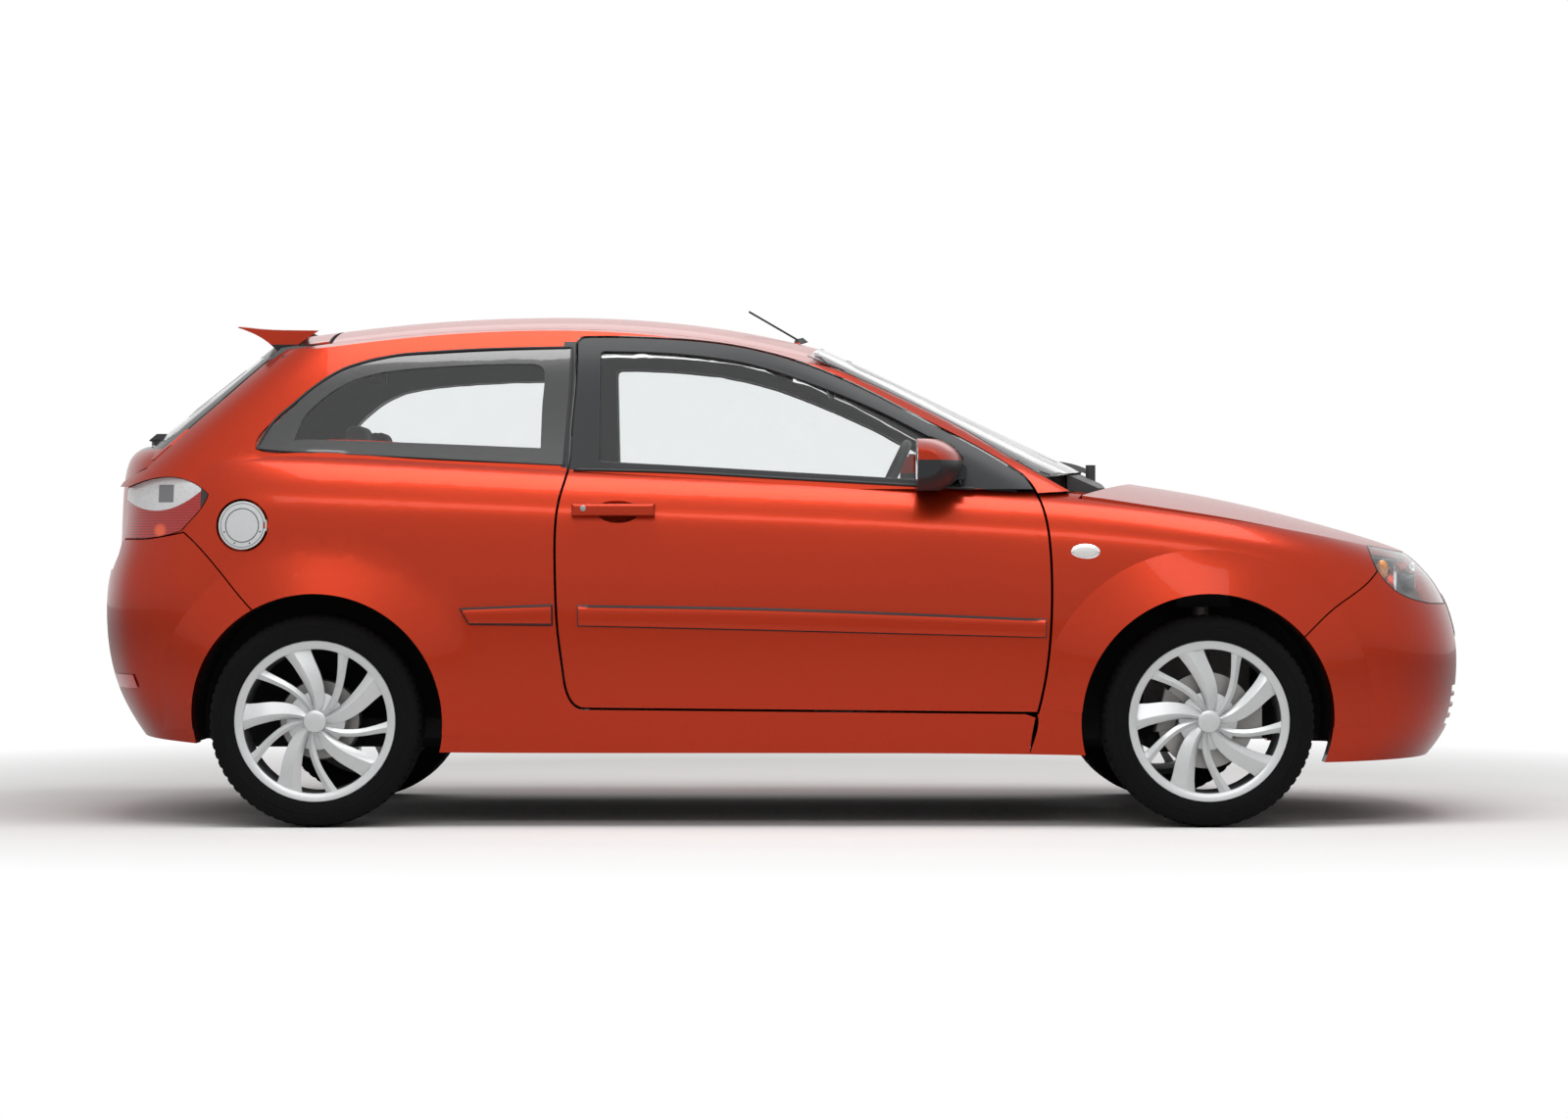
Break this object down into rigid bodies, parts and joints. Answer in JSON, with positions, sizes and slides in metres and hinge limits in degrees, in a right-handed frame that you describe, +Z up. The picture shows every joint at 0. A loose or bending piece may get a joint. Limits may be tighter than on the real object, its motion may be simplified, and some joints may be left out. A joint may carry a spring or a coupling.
{
  "type": "hatchback car",
  "caption": "Compact three-door hatchback car with opening doors, bonnet, tailgate and fuel flap, steered front wheels and free-turning road wheels.",
  "frame": {"origin": "on the ground below the middle of the bounding box", "axes": "+X forward along the car, +Y to its left, +Z up"},
  "size_m": [3.8686, 1.87, 1.4594],
  "materials": {
    "paint": "metallic gloss",
    "glass": "tinted",
    "lamp_clear": "clear",
    "lamp_red": "clear red",
    "silver": "satin",
    "tyre": "matt",
    "cast": "rough",
    "steel": "painted dark",
    "trim": "grained",
    "cloth": "woven"
  },
  "bodies": {
    "chassis": {"fender_right": "paint", "fender_left": "paint", "body_side_right": "paint", "body_side_left": "paint", "front_bumper": "paint", "roof_panel": "paint", "rear_bumper": "paint", "quarter_glass_right": "glass", "quarter_glass_left": "glass", "windscreen": "glass", "headlamp_right": "lamp_clear", "headlamp_left": "lamp_clear", "tail_lamp_right": "lamp_red", "tail_lamp_left": "lamp_red", "engine_block": "cast", "floor_pan": "steel", "rear_beam": "steel", "exhaust": "steel", "dashboard": "trim", "cowl": "trim", "front_seat_right": "cloth", "front_seat_left": "cloth", "rear_seat": "cloth"},
    "door_right": {"door_right": "paint", "door_glass_right": "glass", "mirror_right": "paint"},
    "door_left": {"door_left": "paint", "door_glass_left": "glass", "mirror_left": "paint"},
    "bonnet": {"bonnet": "paint"},
    "tailgate": {"tailgate": "paint", "tailgate_glass": "glass", "rear_wiper": "trim"},
    "fuel_flap": {"fuel_flap": "silver"},
    "steering_wheel": {"steering_wheel": "trim"},
    "knuckle_right": {"knuckle_right": "cast"},
    "knuckle_left": {"knuckle_left": "cast"},
    "wheel_front_right": {"tyre_front_right": "tyre", "rim_front_right": "silver"},
    "wheel_front_left": {"tyre_front_left": "tyre", "rim_front_left": "silver"},
    "wheel_rear_right": {"tyre_rear_right": "tyre", "rim_rear_right": "silver"},
    "wheel_rear_left": {"tyre_rear_left": "tyre", "rim_rear_left": "silver"}
  },
  "joints": [
    {"name": "door_right_hinge", "type": "hinge", "parent": "chassis", "child": "door_right", "pos_m": [0.64, -0.808, 0.55], "axis": [0, 0, 1], "range_deg": [0, 65]},
    {"name": "door_left_hinge", "type": "hinge", "parent": "chassis", "child": "door_left", "pos_m": [0.64, 0.808, 0.55], "axis": [0, 0, -1], "range_deg": [0, 65]},
    {"name": "bonnet_hinge", "type": "hinge", "parent": "chassis", "child": "bonnet", "pos_m": [0.8, 0, 0.915], "axis": [0, -1, 0], "range_deg": [0, 50]},
    {"name": "tailgate_hinge", "type": "hinge", "parent": "chassis", "child": "tailgate", "pos_m": [-1.19, 0, 1.358], "axis": [0, 1, 0], "range_deg": [0, 78]},
    {"name": "fuel_flap_hinge", "type": "hinge", "parent": "chassis", "child": "fuel_flap", "pos_m": [-1.415, -0.79755, 0.825], "axis": [0, 0, 1], "range_deg": [0, 90]},
    {"name": "steer_right", "type": "hinge", "parent": "chassis", "child": "knuckle_right", "pos_m": [1.16, -0.649, 0.29], "axis": [0, 0.2425, 0.9701], "range_deg": [-32, 32]},
    {"name": "steer_left", "type": "hinge", "parent": "chassis", "child": "knuckle_left", "pos_m": [1.16, 0.649, 0.29], "axis": [0, -0.2425, 0.9701], "range_deg": [-32, 32]},
    {"name": "steering_wheel_turn", "type": "hinge", "parent": "chassis", "child": "steering_wheel", "pos_m": [0.27, -0.365, 0.89], "axis": [-0.9063, 0, 0.4226], "range_deg": [-448, 448]},
    {"name": "spin_front_right", "type": "hinge", "parent": "knuckle_right", "child": "wheel_front_right", "pos_m": [1.16, -0.724, 0.29], "axis": [0, 1, 0], "continuous": true},
    {"name": "spin_front_left", "type": "hinge", "parent": "knuckle_left", "child": "wheel_front_left", "pos_m": [1.16, 0.724, 0.29], "axis": [0, 1, 0], "continuous": true},
    {"name": "spin_rear_right", "type": "hinge", "parent": "chassis", "child": "wheel_rear_right", "pos_m": [-1.28, -0.724, 0.29], "axis": [0, 1, 0], "continuous": true},
    {"name": "spin_rear_left", "type": "hinge", "parent": "chassis", "child": "wheel_rear_left", "pos_m": [-1.28, 0.724, 0.29], "axis": [0, 1, 0], "continuous": true}
  ],
  "couplings": [
    {"joint": "steer_left", "follows": "steer_right", "ratio": 1},
    {"joint": "steering_wheel_turn", "follows": "steer_right", "ratio": 14}
  ]
}
